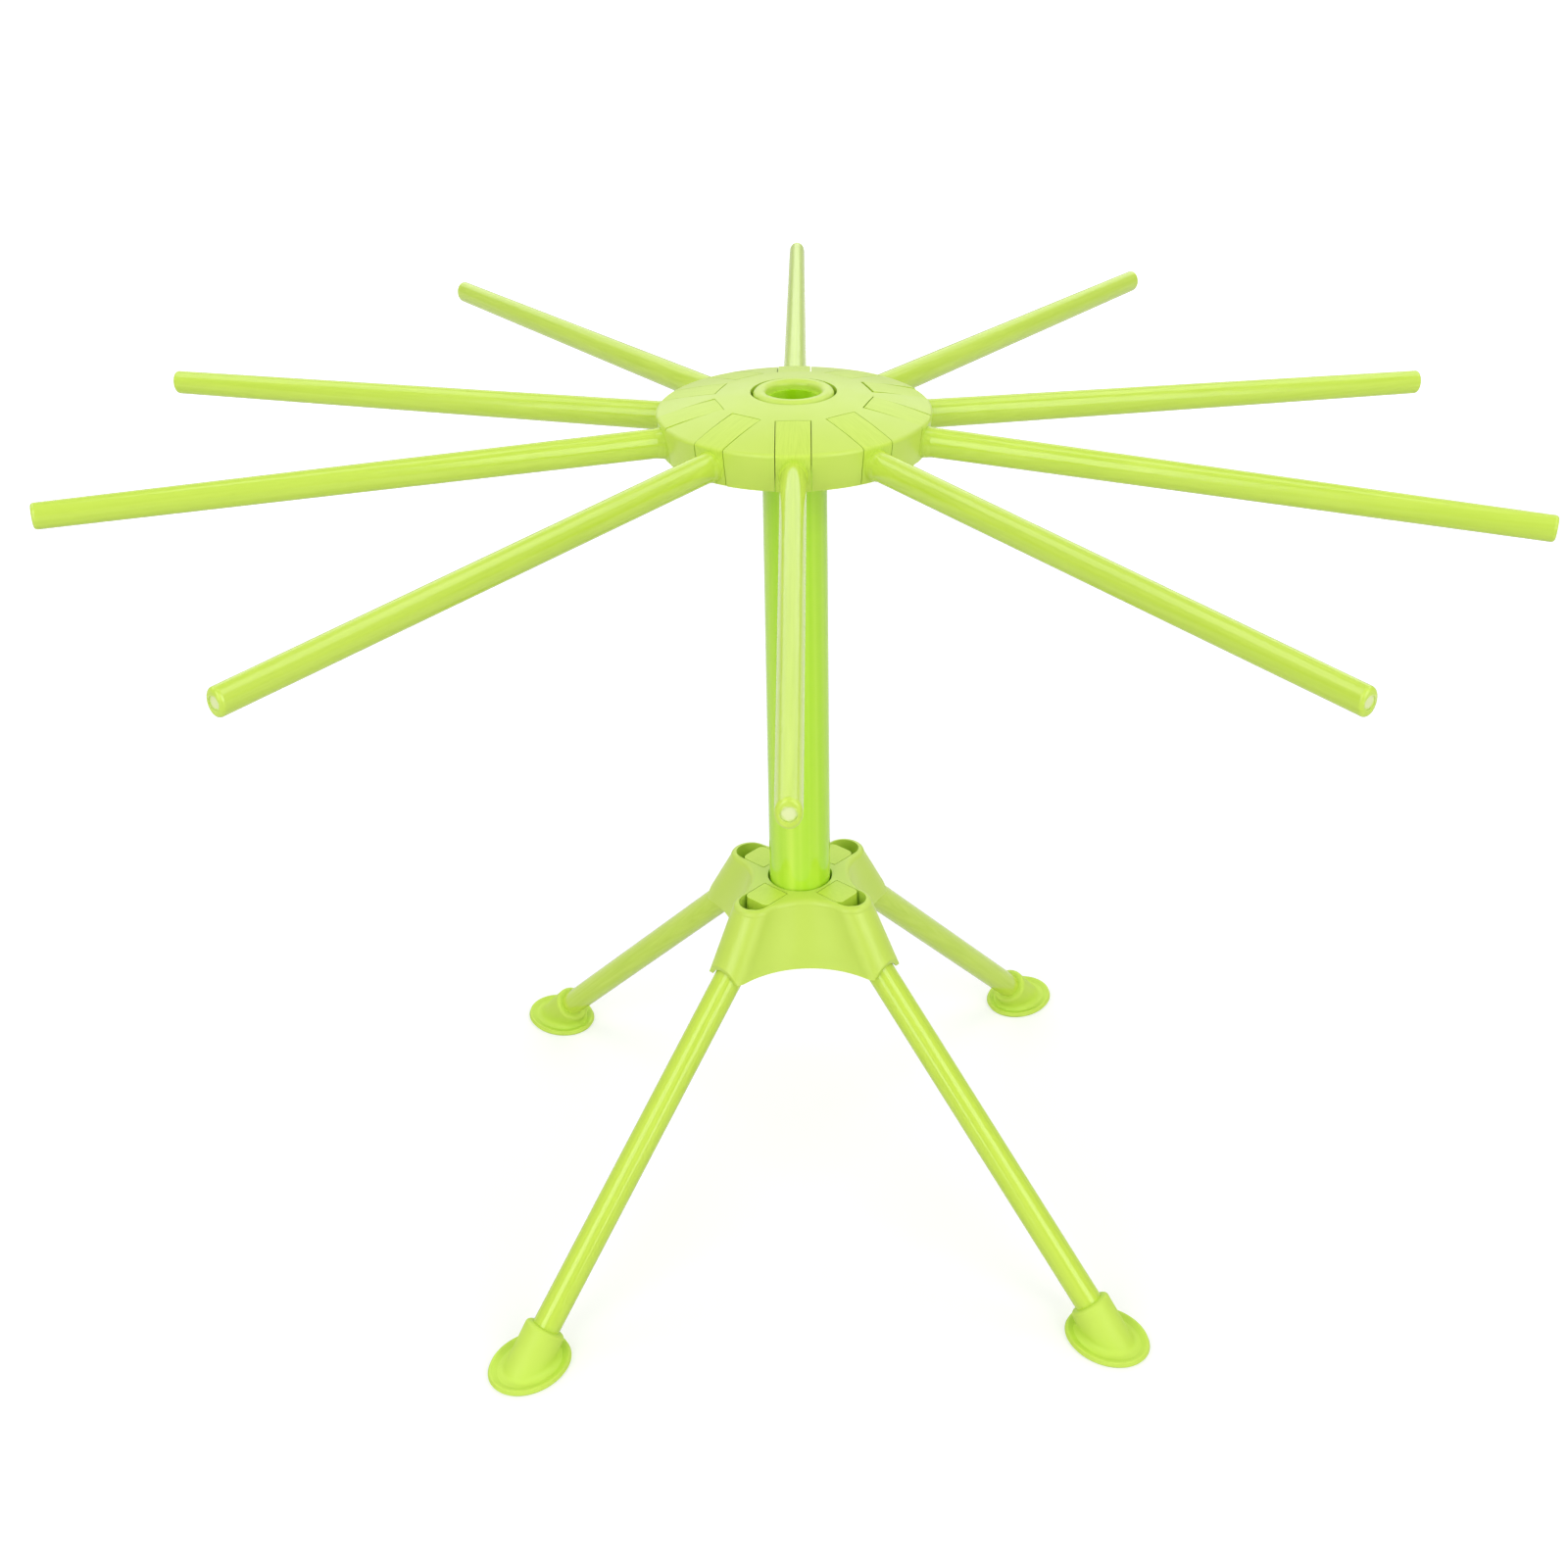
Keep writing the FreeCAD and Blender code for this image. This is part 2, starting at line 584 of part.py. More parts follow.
# Arm: root block with two pins, tapered bar, blunt end
def make_arm(index):
    body = new_body("arm_%02d" % (index + 1))
    sketch = new_sketch(body, "XZ_Plane", "block")
    outline(sketch, [
        ("dims.block_inner", "calc.arm_pin_high", "calc.arm_heel", 1),
        ("dims.arm_pin_reach", "calc.hub_low"),
        ("calc.block_over", "calc.hub_low"),
        ("calc.block_over", "calc.above_dome"),
        ("dims.block_inner", "calc.above_dome"),
    ])
    both_sides(body, "Pad", "block_pad", sketch, "dims.block_wide")
    sketch = new_sketch(body, "XZ_Plane", "skin")
    outline(sketch, [
        (0, "calc.dome_top"),
        (0, "calc.above_dome"),
        ("calc.beyond_rim", "calc.above_dome"),
        ("calc.beyond_rim", "calc.hub_low"),
        ("dims.hub_low_radius", "calc.hub_low"),
        ("dims.hub_radius", "calc.hub_rim", "dims.hub_dome", 1),
    ])
    skin = turned(body, "Groove", "skin_cut", sketch)
    rim_high = number("calc.hub_rim")
    rounded(body, "rim", skin, "dims.rim_round",
            lambda e: is_ring(e, number("dims.hub_radius"), rim_high - 0.1, rim_high + 0.1))
    flare = new_sketch(body, "YZ_Plane", "flare", "dims.root_start")
    oval(flare, 0, "calc.root_high", "calc.flare_half", "calc.flare_half_tall")
    neck = new_sketch(body, "YZ_Plane", "neck", "calc.neck_at")
    oval(neck, 0, "calc.root_high", "calc.neck_half", "calc.neck_half_tall")
    tip = new_sketch(body, "YZ_Plane", "tip", "dims.arm_reach")
    oval(tip, 0, "calc.tip_high", "calc.tip_half", "calc.tip_half_tall")
    bar = loft(body, "AdditiveLoft", "bar", [flare, neck, tip])
    reach = number("dims.arm_reach")
    rounded(body, "end", bar, "dims.tip_round",
            lambda e: all(abs(v.Point.x - reach) < 0.01 for v in e.Vertexes))
    sketch = new_sketch(body, "YZ_Plane", "gate", "dims.arm_reach")
    circle(sketch, 0, "calc.tip_high", "calc.gate_radius")
    one_side(body, "Pocket", "gate_cut", sketch, "dims.gate_deep")
    sketch = new_sketch(body, "XZ_Plane", "pins")
    circle(sketch, "dims.arm_pin_reach", "calc.arm_pin_high", "calc.arm_pin_radius")
    both_sides(body, "Pad", "pins_pad", sketch, "calc.arm_pin_over")
    hang(body, index)
    return body


# Outline of the base hub at one height: four round lobes and four hollow sides
def lobes(sketch, level):
    along = "calc.%salong" % level
    aside = "calc.%saside" % level
    end = "calc.%stip" % level
    hollow = "calc.%shollow" % level
    outline(sketch, [
        (along, "-" + aside, end, 1),
        (along, aside, hollow, -1),
        (aside, along, end, 1),
        ("-" + aside, along, hollow, -1),
        ("-" + along, aside, end, 1),
        ("-" + along, "-" + aside, hollow, -1),
        ("-" + aside, "-" + along, end, 1),
        (aside, "-" + along, hollow, -1),
    ])


# Base hub: flared four-lobed block with a socket for the column and four leg slots
def make_base():
    body = new_body("base_hub")
    rings = []
    for level in LEVELS:
        sketch = new_sketch(body, "XY_Plane", level[0], "calc.%shigh" % level[0])
        lobes(sketch, level[0])
        sketch.Visibility = False
        rings.append(sketch)
    loft(body, "AdditiveLoft", "flare", rings[:2])
    edge = feature(body, "AdditiveLoft", "edge", rings[1])
    edge.Sections = rings[2:]
    sketch = new_sketch(body, "XZ_Plane", "socket")
    outline(sketch, [
        (0, "calc.column_low"),
        ("calc.socket_radius", "calc.column_low"),
        ("calc.socket_radius", "calc.mouth_low"),
        ("dims.mouth_radius", "calc.base_top"),
        ("dims.mouth_radius", "calc.above_base"),
        (0, "calc.above_base"),
    ])
    turned(body, "Groove", "socket_cut", sketch)
    sketch = new_sketch(body, "XY_Plane", "eye", "calc.below_base")
    outline(sketch, [
        ("calc.leg_slot_inner", "-calc.leg_slot_half"),
        ("calc.eye_round_at", "-calc.leg_slot_half", "calc.leg_slot_half", 1),
        ("dims.eye_end", 0, "calc.leg_slot_half", 1),
        ("calc.eye_round_at", "calc.leg_slot_half"),
        ("calc.leg_slot_inner", "calc.leg_slot_half"),
    ])
    eye = one_side(body, "Pocket", "eye_cut", sketch, "calc.above_base", True)
    sketch = new_sketch(body, "XZ_Plane", "way")
    outline(sketch, [
        ("calc.leg_slot_inner", "calc.below_base"),
        ("calc.way_end_x", "calc.below_base"),
        ("calc.way_end_x", "calc.way_end_z"),
        ("dims.leg_pin_reach", "calc.leg_pin_high"),
        ("calc.leg_slot_inner", "calc.leg_pin_high"),
    ])
    way = both_sides(body, "Pocket", "way_cut", sketch, "calc.leg_slot_wide")
    sketch = new_sketch(body, "XZ_Plane", "arch")
    outline(sketch, [
        ("calc.bar_start_x", "calc.bar_start_z"),
        ("calc.way_end_x", "calc.way_end_z"),
        ("calc.way_end_up_x", "calc.way_end_up_z"),
        ("calc.way_start_up_x", "calc.way_start_up_z"),
    ])
    axis_line(sketch, "calc.bar_start_x", "calc.bar_start_z", "calc.way_end_x", "calc.way_end_z")
    arch = turned(body, "Groove", "arch_cut", sketch, "Axis0")
    sketch = new_sketch(body, "XZ_Plane", "bearing")
    circle(sketch, "dims.leg_pin_reach", "calc.leg_pin_high", "calc.leg_eye_radius")
    bearing = both_sides(body, "Pocket", "bearing_cut", sketch, "calc.leg_eye_over")
    sketch = new_sketch(body, "XZ_Plane", "throat")
    outline(sketch, [
        ("calc.leg_throat_in", "calc.below_base"),
        ("calc.leg_throat_out", "calc.below_base"),
        ("calc.leg_throat_out", "calc.leg_pin_high"),
        ("calc.leg_throat_in", "calc.leg_pin_high"),
    ])
    throat = both_sides(body, "Pocket", "throat_cut", sketch, "calc.leg_eye_over")
    sketch = new_sketch(body, "XZ_Plane", "hood")
    outline(sketch, [
        ("calc.hood_low_x", "calc.below_base"),
        ("calc.past_lobes", "calc.below_base"),
        ("calc.past_lobes", "calc.above_base"),
        ("calc.hood_high_x", "calc.above_base"),
    ])
    hood = both_sides(body, "Pocket", "hood_cut", sketch, "calc.hood_over")
    around(body, "legs", [eye, way, arch, bearing, throat, hood], 4)
    sketch = new_sketch(body, "XY_Plane", "core", "calc.base_low")
    sketch.AttachmentOffset = Placement(Vector(0, 0, number("calc.base_low")), Rotation(Vector(0, 0, 1), 45))
    circle(sketch, "dims.base_core_at", 0, "calc.base_core_radius")
    core = one_side(body, "Pocket", "core_cut", sketch, "dims.base_core_deep", True)
    around(body, "cores", [core], 4)
    turn_about_z(body, 45)
    return body


# Leg: root block with two pins and a round bar
def make_leg(index):
    body = new_body("leg_%d" % (index + 1))
    sketch = new_sketch(body, "XZ_Plane", "block")
    outline(sketch, [
        ("dims.leg_inner", "calc.leg_pin_high", "calc.leg_heel", 1),
        ("dims.leg_pin_reach", "calc.leg_heel_low"),
        ("calc.block_toe_x", "calc.block_toe_z"),
        ("dims.leg_block_out", "calc.base_top"),
        ("dims.leg_inner", "calc.base_top"),
    ])
    block = both_sides(body, "Pad", "block_pad", sketch, "dims.leg_block_wide")
    ends = (number("dims.leg_block_out"), number("calc.block_toe_x"))
    rounded(body, "block_end", block, "dims.leg_block_round",
            lambda e: abs(min(v.X for v in e.Vertexes) - min(ends)) < 0.01
            and abs(max(v.X for v in e.Vertexes) - max(ends)) < 0.01
            and e.BoundBox.YLength < 0.01 and e.BoundBox.ZMin > number("calc.block_toe_z") - 0.01)
    sketch = new_sketch(body, "XZ_Plane", "bar")
    outline(sketch, [
        ("calc.bar_start_x", "calc.bar_start_z"),
        ("calc.bar_end_x", "calc.bar_end_z"),
        ("calc.bar_end_up_x", "calc.bar_end_up_z"),
        ("calc.bar_up_x", "calc.bar_up_z"),
    ])
    axis_line(sketch, "calc.bar_start_x", "calc.bar_start_z", "calc.bar_end_x", "calc.bar_end_z")
    turned(body, "Revolution", "bar_turn", sketch, "Axis0")
    sketch = new_sketch(body, "XZ_Plane", "pins")
    circle(sketch, "dims.leg_pin_reach", "calc.leg_pin_high", "calc.leg_pin_radius")
    both_sides(body, "Pad", "pins_pad", sketch, "calc.leg_pin_over")
    turn_about_z(body, 45 + 90 * index)
    return body


# Foot: oval dished sole, hump that runs up to a collar round the leg end, blind bore for the leg
def make_foot(index):
    body = new_body("foot_%d" % (index + 1))

    def level(tag, high, long, wide):
        sketch = new_sketch(body, "XY_Plane", tag, high)
        oval(sketch, "calc.sole_mid", 0, long, wide)
        return sketch

    under = level("under", None, "calc.sole_edge_long", "calc.sole_edge_wide")
    belly = level("belly", "dims.sole_belly", "dims.sole_long", "dims.sole_wide")
    top = level("top", "dims.sole_thick", "calc.sole_edge_long", "calc.sole_edge_wide")
    loft(body, "AdditiveLoft", "sole", [under, belly, top])
    rim = level("rim", "dims.sole_thick", "calc.dish_long", "calc.dish_wide")
    floor = level("floor", "calc.floor_high", "calc.floor_long", "calc.floor_wide")
    dish = loft(body, "SubtractiveLoft", "dish", [rim, floor])
    high = number("dims.sole_thick")
    rounded(body, "rim_soft", dish, "dims.rim_soft",
            lambda e: abs(e.BoundBox.ZMin - high) < 0.01 and e.BoundBox.ZLength < 0.02)
    root = level("root", "calc.floor_high", "calc.hump_long", "calc.hump_wide")
    collar = new_sketch(body, "XY_Plane", "collar")
    lean = Rotation(Vector(0, 1, 0), number("calc.collar_lean"))
    collar.AttachmentOffset = Placement(Vector(number("calc.collar_x"), 0, number("calc.collar_z")), lean)
    collar.setExpression("AttachmentOffset.Base.x", "calc.collar_x")
    collar.setExpression("AttachmentOffset.Base.z", "calc.collar_z")
    circle(collar, 0, 0, "dims.collar_radius")
    hump = loft(body, "AdditiveLoft", "hump", [root, collar])
    lip = number("dims.collar_radius")
    edge = rounded(body, "lip", hump, "dims.collar_round",
                   lambda e: isinstance(e.Curve, Part.Circle) and abs(e.Curve.Radius - lip) < 0.02)
    ground = number("calc.floor_high")
    wide = 2 * number("calc.hump_wide")
    rounded(body, "blend", edge, "dims.hump_blend",
            lambda e: abs(e.BoundBox.ZMin - ground) < 0.01 and e.BoundBox.ZLength < 0.02
            and abs(e.BoundBox.YLength - wide) < 0.1)
    sketch = new_sketch(body, "XZ_Plane", "bore")
    outline(sketch, [
        ("calc.bore_start_x", "calc.bore_start_z"),
        ("calc.bar_end_x", "calc.bar_end_z"),
        ("calc.bar_end_up_x", "calc.bar_end_up_z"),
        ("calc.grip_up_x", "calc.grip_up_z"),
    ])
    axis_line(sketch, "calc.bore_start_x", "calc.bore_start_z", "calc.bar_end_x", "calc.bar_end_z")
    turned(body, "Groove", "bore_cut", sketch, "Axis0")
    turn_about_z(body, 45 + 90 * index)
    return body


NODES = [make_hub(), make_collar(), make_column(), make_base()]
for k in range(10):
    NODES.append(make_arm(k))
for k in range(4):
    NODES.append(make_leg(k))
for k in range(4):
    NODES.append(make_foot(k))
doc.recompute()

# Nothing in the document may be broken
for item in doc.Objects:
    if "Invalid" in item.State or "Error" in item.State:
        raise RuntimeError("broken object: " + item.Name + " " + str(item.State))

# One file for each piece
os.makedirs("parts", exist_ok=True)
for body in NODES:
    if body.Shape.isNull() or not body.Shape.isValid():
        raise RuntimeError("bad shape: " + body.Label)
    if len(body.Shape.Solids) != 1:
        raise RuntimeError("not one solid: " + body.Label)
    body.Shape.exportStep("parts/" + body.Label + ".step")
    box = body.Shape.BoundBox
    print(body.Label, "volume", round(body.Shape.Volume), "z", round(box.ZMin, 2), round(box.ZMax, 2))
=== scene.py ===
# %% [markdown]
# # A folding pasta drying rack in lime green plastic
# The real rack is moulded in one bright green: ten arms hinged in a domed hub, a round column, and
# a lobed base hub with four hinged legs on soft feet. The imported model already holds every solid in
# its place, so this lesson gives each solid its finish, adds what moulding leaves on it, and sets up
# a studio. Lengths are in metres, as Blender counts them, and MM turns millimetres into metres.

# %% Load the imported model
import math

import bmesh
import bpy
from mathutils import Matrix, Vector

MM = 0.001

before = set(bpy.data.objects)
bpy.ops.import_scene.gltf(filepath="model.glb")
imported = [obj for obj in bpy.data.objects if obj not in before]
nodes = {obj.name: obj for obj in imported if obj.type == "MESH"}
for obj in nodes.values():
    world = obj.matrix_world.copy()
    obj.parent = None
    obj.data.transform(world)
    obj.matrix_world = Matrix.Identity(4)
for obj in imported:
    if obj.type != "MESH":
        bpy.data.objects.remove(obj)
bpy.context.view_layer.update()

# %% [markdown]
# ## Camera
# The photograph looks down on the rack from a little above arm height, close enough that the front
# arms grow towards the lens. The place and turn below were fitted to the arm ends and the feet. A
# lens is given in millimetres on a 36 mm sensor, so a focal length in pixels is scaled by 36 over the
# image width.

# %% Camera
IMAGE_PX = 1600
FOCAL_PX = 1934.0
SENSOR_MM = 36.0
CAMERA_PLACE = (-0.0266, -0.5672, 0.4910)
YAW, PITCH, ROLL = 2.17, 29.64, 1.02

lens = bpy.data.cameras.new("camera")
lens.sensor_width = SENSOR_MM
lens.lens = FOCAL_PX * SENSOR_MM / IMAGE_PX
camera = bpy.data.objects.new("camera", lens)
bpy.context.scene.collection.objects.link(camera)
turn = Matrix.Rotation(math.radians(-YAW), 4, "Z")
turn = turn @ Matrix.Rotation(math.radians(90 - PITCH), 4, "X")
turn = turn @ Matrix.Rotation(math.radians(-ROLL), 4, "Z")
camera.matrix_world = Matrix.Translation(CAMERA_PLACE) @ turn
bpy.context.scene.camera = camera
print("lens", round(lens.lens, 2), "mm")

# %% [markdown]
# ## Helpers for colour and nodes
# Colours are picked as sRGB hex values, as any paint program shows them, but shaders work in linear
# light. One function converts them. A second one adds a node, sets its values and links its inputs,
# so that each finish further down reads as a short list of steps. The sockets of a Mix node share
# their names between numbers and colours, so they are picked by their place in the node.


# %% Helpers for colour and nodes
def colour(hex_value):
    # The sRGB curve: a short straight foot, then a power.
    parts = [int(hex_value[i:i + 2], 16) / 255 for i in (1, 3, 5)]
    linear = [c / 12.92 if c <= 0.04045 else ((c + 0.055) / 1.055) ** 2.4 for c in parts]
    return (*linear, 1.0)


def add(tree, kind, inputs=None, **settings):
    node = tree.nodes.new(kind)
    for name, value in settings.items():
        setattr(node, name, value)
    for name, value in (inputs or {}).items():
        if isinstance(value, bpy.types.NodeSocket):
            tree.links.new(value, node.inputs[name])
        else:
            node.inputs[name].default_value = value
    return node


MIX_SHARE, MIX_NUMBER_A, MIX_NUMBER_B, MIX_COLOUR_A, MIX_COLOUR_B = 0, 2, 3, 6, 7
MIXED_NUMBER, MIXED_COLOUR = 0, 2
print("middle grey in linear light", [round(c, 3) for c in colour("#808080")])

# %% [markdown]
# ## Streaks along a bar
# In the mould of a bar the melt runs lengthwise, so the streaks of its dye do too. A UV map along the
# bar would carry them, but it needs unwrapping. Here the pattern is drawn on coordinates that stay the
# same along the bar: the direction seen from the column, measured on a circle of 150 mm about it, and
# the height above the sloping middle line of the bar.


# %% Streaks along a bar
STREAK_CIRCLE = 150 * MM
LEVEL = (1, 1, 0)


def along_bar(tree, slope):
    place = add(tree, "ShaderNodeTexCoord").outputs["Object"]
    level = add(tree, "ShaderNodeVectorMath", {0: place, 1: LEVEL}, operation="MULTIPLY").outputs[0]
    side = add(tree, "ShaderNodeVectorMath", {0: level}, operation="NORMALIZE").outputs[0]
    side = add(tree, "ShaderNodeVectorMath", {0: side, "Scale": STREAK_CIRCLE}, operation="SCALE")
    fall = add(tree, "ShaderNodeVectorMath", {0: level}, operation="LENGTH").outputs["Value"]
    fall = add(tree, "ShaderNodeMath", {0: fall, 1: math.sin(slope)}, operation="MULTIPLY")
    rise = add(tree, "ShaderNodeSeparateXYZ", {0: place}).outputs["Z"]
    rise = add(tree, "ShaderNodeMath", {0: rise, 1: math.cos(slope), 2: fall.outputs[0]},
               operation="MULTIPLY_ADD")
    lift = add(tree, "ShaderNodeCombineXYZ", {"Z": rise.outputs[0]})
    both = add(tree, "ShaderNodeVectorMath", {0: side.outputs[0], 1: lift.outputs[0]}, operation="ADD")
    return both.outputs[0]


print("streaks measured on a circle of", round(STREAK_CIRCLE / MM), "mm")

# %% [markdown]
# ## Moulded plastic
# All parts but the feet are ABS, injection moulded in a dyed lime green. Polished mould halves give a
# gloss face, etched ones a satin face. Close up, a moulded face is never perfectly even: the dye flows
# in faint streaks, the gloss changes a little from place to place, and the skin has a very low ripple.
# Three noise patterns with real sizes give those three effects. They could also be painted on a
# texture, but noise on Object coordinates needs no unwrapping and stays sharp at any distance.


# %% Moulded plastic
ABS_IOR = 1.53
GLOSS_PATCH = 9 * MM
# Noise seldom leaves this range, so it is stretched to the full change of colour or gloss.
NOISE_LOW, NOISE_HIGH = 0.3, 0.7


def moulded(name, face, streak, streak_mm, gloss, ripple_mm, ripple_high_mm, slope=None):
    made = bpy.data.materials.new(name)
    made.use_nodes = True
    tree = made.node_tree
    shader = tree.nodes["Principled BSDF"]
    shader.inputs["IOR"].default_value = ABS_IOR
    place = add(tree, "ShaderNodeTexCoord").outputs["Object"]

    run = place if slope is None else along_bar(tree, slope)
    cell = add(tree, "ShaderNodeVectorMath", {0: run, 1: [size * MM for size in streak_mm]},
               operation="DIVIDE")
    flow = add(tree, "ShaderNodeTexNoise", {"Vector": cell.outputs[0], "Scale": 1.0, "Detail": 2.0})
    share = add(tree, "ShaderNodeMapRange", {"Value": flow.outputs["Fac"], "From Min": NOISE_LOW,
                                             "From Max": NOISE_HIGH})
    dye = add(tree, "ShaderNodeMix", {MIX_SHARE: share.outputs["Result"], MIX_COLOUR_A: colour(face),
                                      MIX_COLOUR_B: colour(streak)}, data_type="RGBA")
    tree.links.new(dye.outputs[MIXED_COLOUR], shader.inputs["Base Color"])

    patch = add(tree, "ShaderNodeTexNoise", {"Vector": place, "Scale": 1 / GLOSS_PATCH, "Detail": 3.0})
    spread = add(tree, "ShaderNodeMapRange", {"Value": patch.outputs["Fac"], "From Min": NOISE_LOW,
                                              "From Max": NOISE_HIGH, "To Min": gloss[0],
                                              "To Max": gloss[1]})
    tree.links.new(spread.outputs["Result"], shader.inputs["Roughness"])

    skin = add(tree, "ShaderNodeTexNoise", {"Vector": place, "Scale": 1 / (ripple_mm * MM),
                                            "Detail": 2.0})
    bump = add(tree, "ShaderNodeBump", {"Height": skin.outputs["Fac"], "Strength": 1.0,
                                        "Distance": ripple_high_mm * MM})
    tree.links.new(bump.outputs["Normal"], shader.inputs["Normal"])
    return made


print("gloss changes over", round(GLOSS_PATCH / MM), "mm")

# %% [markdown]
# ## A finish for every solid
# The photograph shows four finishes: gloss bars, a still purer green on the column, satin hubs and
# matte feet. One plastic for all would be quicker, but the rack would then look cut from one block.
# Each solid gets its finish by the first word of its name, so arms and legs need no list. The legs
# slope 45 degrees, and the arms lie level.

# %% A finish for every solid
ARM_SLOPE, LEG_SLOPE = 0.0, math.radians(45.2)

# Polished bars: soft long highlights, and faint streaks that lead the eye along each arm and leg.
arm_abs = moulded("gloss moulded lime ABS arm", face="#CCE756", streak="#C3E047",
                  streak_mm=(1.6, 1.6, 1.6), gloss=(0.13, 0.19), ripple_mm=3.0,
                  ripple_high_mm=0.008, slope=ARM_SLOPE)
leg_abs = moulded("gloss moulded lime ABS leg", face="#CDE852", streak="#C4E144",
                  streak_mm=(1.6, 1.6, 1.6), gloss=(0.08, 0.13), ripple_mm=3.0,
                  ripple_high_mm=0.008, slope=LEG_SLOPE)
# Drawn tube: the purest green of the rack, with upright die lines that keep it from looking like a
# flat bar.
tube_abs = moulded("gloss drawn lime ABS tube", face="#CFF450", streak="#AEE41A",
                   streak_mm=(5, 5, 400), gloss=(0.08, 0.13), ripple_mm=4.0, ripple_high_mm=0.008)
# Etched hubs: an even milky face, on which the slots and seams read as thin dark lines. The etched
# grain is about 0.1 mm, too fine for the picture, and is drawn at 0.7 mm.
satin_abs = moulded("satin moulded lime ABS", face="#CAE45C", streak="#C5E054",
                    streak_mm=(28, 28, 28), gloss=(0.30, 0.38), ripple_mm=0.7, ripple_high_mm=0.006)
# Soft feet: no mirror highlights at all, so they look grippy and a little lighter than the hard
# parts. Their grain too is drawn coarser than the 0.1 mm of the mould.
soft_foot = moulded("soft matte lime elastomer", face="#CCEA56", streak="#C6E44E",
                    streak_mm=(28, 28, 28), gloss=(0.50, 0.60), ripple_mm=0.5, ripple_high_mm=0.012)

finishes = {"arm": arm_abs, "leg": leg_abs, "column": tube_abs, "top": satin_abs,
            "base": satin_abs, "foot": soft_foot}
for name, node in nodes.items():
    node.data.materials.clear()
    node.data.materials.append(finishes[name.split("_")[0]])
print("finishes on", len(nodes), "nodes")

# %% [markdown]
# ## Satin root blocks
# The root block of an arm or a leg lies in its hub like a piece of it, so its mould is etched like the
# hub's. The bar that grows out of it is polished. Both are one moulding, so one material holds both:
# the roughness goes from satin to gloss with the distance from the axis of the column.


# %% Satin root blocks
BLOCK_SATIN = 0.38
BLOCK_EDGE_MM = 0.4
ARM_BLOCK_MM, LEG_BLOCK_MM = 43, 30


def satin_inside(made, reach_mm):
    tree = made.node_tree
    shader = tree.nodes["Principled BSDF"]
    polished = shader.inputs["Roughness"].links[0].from_socket
    place = add(tree, "ShaderNodeTexCoord").outputs["Object"]
    level = add(tree, "ShaderNodeVectorMath", {0: place, 1: LEVEL}, operation="MULTIPLY")
    away = add(tree, "ShaderNodeVectorMath", {0: level.outputs[0]}, operation="LENGTH")
    out = add(tree, "ShaderNodeMapRange", {"Value": away.outputs["Value"],
                                           "From Min": (reach_mm - BLOCK_EDGE_MM) * MM,
                                           "From Max": (reach_mm + BLOCK_EDGE_MM) * MM})
    both = add(tree, "ShaderNodeMix", {MIX_SHARE: out.outputs["Result"], MIX_NUMBER_A: BLOCK_SATIN,
                                       MIX_NUMBER_B: polished})
    tree.links.new(both.outputs[MIXED_NUMBER], shader.inputs["Roughness"])


satin_inside(leg_abs, LEG_BLOCK_MM)
satin_inside(arm_abs, ARM_BLOCK_MM)
print("satin blocks in", leg_abs.name, "and", arm_abs.name)

# %% [markdown]
# ## Gate marks on the arm ends
# Plastic enters the mould of each arm at its free end. Where the gate was nipped off, the skin is torn
# and whitened in a round spot. A decal would do, but a mask by distance from the middle of the end
# needs no extra piece and can't come loose from it. The middle is read from the outermost points of
# the arm, so it follows the arm wherever the solid puts it, and each arm has its own copy of the
# finish.


# %% Gate marks on the arm ends
END_DEPTH = 0.3 * MM
GATE_RADIUS_MM = 2.0
GATE_FADE_MM = (-0.2, 0.6)
GATE_TEAR = 0.9 * MM
# Torn plastic scatters light and shows as a pale spot with a ragged rim.
GATE_PALE = "#E4EEAE"


def end_middle(node):
    points = [Vector(v.co) for v in node.data.vertices]
    reach = max(point.xy.length for point in points)
    outer = [point for point in points if point.xy.length > reach - END_DEPTH]
    low = Vector([min(point[i] for point in outer) for i in range(3)])
    high = Vector([max(point[i] for point in outer) for i in range(3)])
    return (low + high) / 2


def whiten(made, middle):
    tree = made.node_tree
    shader = tree.nodes["Principled BSDF"]
    dyed = shader.inputs["Base Color"].links[0].from_socket
    place = add(tree, "ShaderNodeTexCoord").outputs["Object"]
    away = add(tree, "ShaderNodeVectorMath", {0: place, 1: middle}, operation="DISTANCE")
    torn = add(tree, "ShaderNodeTexNoise", {"Vector": place, "Scale": 1 / GATE_TEAR, "Detail": 2.0})
    edge = add(tree, "ShaderNodeMath", {0: torn.outputs["Fac"], 1: GATE_TEAR,
                                        2: away.outputs["Value"]}, operation="MULTIPLY_ADD")
    spot = add(tree, "ShaderNodeMapRange", {"Value": edge.outputs[0],
                                            "From Min": (GATE_RADIUS_MM + GATE_FADE_MM[0]) * MM,
                                            "From Max": (GATE_RADIUS_MM + GATE_FADE_MM[1]) * MM,
                                            "To Min": 1.0, "To Max": 0.0})
    pale = add(tree, "ShaderNodeMix", {MIX_SHARE: spot.outputs["Result"], MIX_COLOUR_A: dyed,
                                       MIX_COLOUR_B: colour(GATE_PALE)}, data_type="RGBA")
    tree.links.new(pale.outputs[MIXED_COLOUR], shader.inputs["Base Color"])


for name in [name for name in nodes if name.startswith("arm_")]:
    ended = arm_abs.copy()
    ended.name = "gloss moulded lime ABS with gate mark " + name[-2:]
    middle = end_middle(nodes[name])
    whiten(ended, middle)
    nodes[name].data.materials[0] = ended
    print(name, "gate mark at", [round(v / MM, 1) for v in middle])

